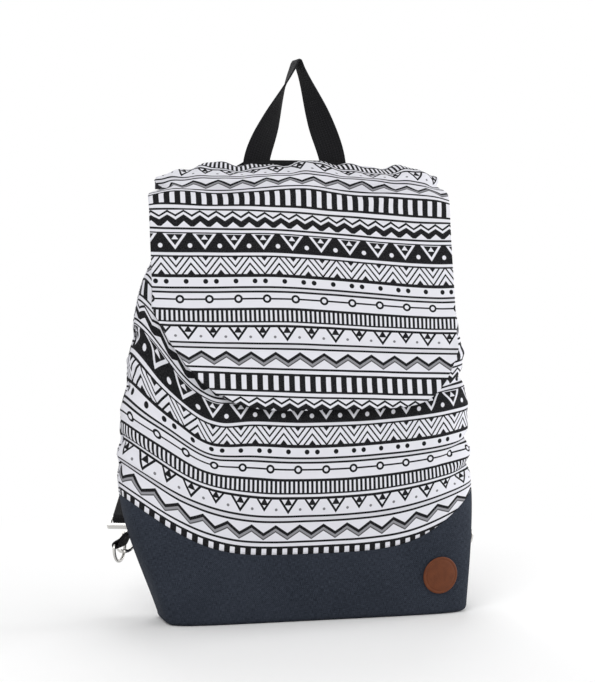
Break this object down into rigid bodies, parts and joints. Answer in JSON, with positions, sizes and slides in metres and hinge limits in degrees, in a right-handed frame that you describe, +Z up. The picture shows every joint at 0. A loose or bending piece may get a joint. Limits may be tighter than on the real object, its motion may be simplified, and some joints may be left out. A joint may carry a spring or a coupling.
{
  "type": "backpack",
  "caption": "Printed canvas backpack on a denim base, with a front flap, a webbing grab loop and a shoulder strap that clips to rings on the sides.",
  "frame": {"origin": "on the underside of the denim base, below the middle line of the flap and the grab loop", "axes": "+Z up, -Y to the front (the flap and the leather patch), +X to the right side as seen from the front"},
  "size_m": [0.3516, 0.1777, 0.5185],
  "materials": {
    "printed_canvas": "black geometric bands printed on cool white canvas",
    "denim": "dark blue-grey heathered denim",
    "dark_lining": "plain dark cotton",
    "webbing": "black ribbed webbing",
    "leather": "tan brown, smooth grain",
    "nickel": "polished nickel plate"
  },
  "bodies": {
    "bag": {"denim_base": "denim", "front_panel": "printed_canvas", "back_panel": "printed_canvas", "lining": "dark_lining", "flap_outer": "printed_canvas", "flap_lining": "dark_lining", "leather_patch": "leather", "cross_band": "webbing", "grab_loop": "webbing", "side_tab_left": "webbing", "side_tab_right": "webbing", "shoulder_strap": "webbing", "strap_slider": "nickel", "hook_eye_left": "nickel", "hook_eye_right": "nickel"},
    "ring_left": {"side_ring_left": "nickel"},
    "ring_right": {"side_ring_right": "nickel"},
    "snap_hook_left": {"hook_left": "nickel", "gate_pin_left": "nickel"},
    "snap_hook_right": {"hook_right": "nickel", "gate_pin_right": "nickel"},
    "gate_lever_left": {"gate_left": "nickel"},
    "gate_lever_right": {"gate_right": "nickel"}
  },
  "joints": [
    {"name": "ring_left_swing", "type": "hinge", "parent": "bag", "child": "ring_left", "pos_m": [-0.16342, 0.02637, 0.069], "axis": [0.5256, 0.8507, 0], "range_deg": [-8, 8]},
    {"name": "ring_right_swing", "type": "hinge", "parent": "bag", "child": "ring_right", "pos_m": [0.1707, 0.02653, 0.069], "axis": [-0.5432, 0.8396, 0], "range_deg": [-8, 8]},
    {"name": "hook_left_swivel", "type": "hinge", "parent": "bag", "child": "snap_hook_left", "pos_m": [-0.14676, 0.06195, 0.07727], "axis": [-0.3279, -0.8239, -0.4623], "range_deg": [-8, 8]},
    {"name": "hook_right_swivel", "type": "hinge", "parent": "bag", "child": "snap_hook_right", "pos_m": [0.1533, 0.06175, 0.07727], "axis": [0.345, -0.8169, -0.4623], "range_deg": [-8, 8]},
    {"name": "gate_left_open", "type": "hinge", "parent": "snap_hook_left", "child": "gate_lever_left", "pos_m": [-0.15378, 0.05568, 0.07287], "axis": [-0.1709, -0.4295, 0.8867], "range_deg": [0, 25], "stiffness_Nm_per_rad": 0.01},
    {"name": "gate_right_open", "type": "hinge", "parent": "snap_hook_right", "child": "gate_lever_right", "pos_m": [0.1527, 0.05236, 0.07287], "axis": [0.1799, -0.4259, 0.8867], "range_deg": [0, 25], "stiffness_Nm_per_rad": 0.01}
  ]
}
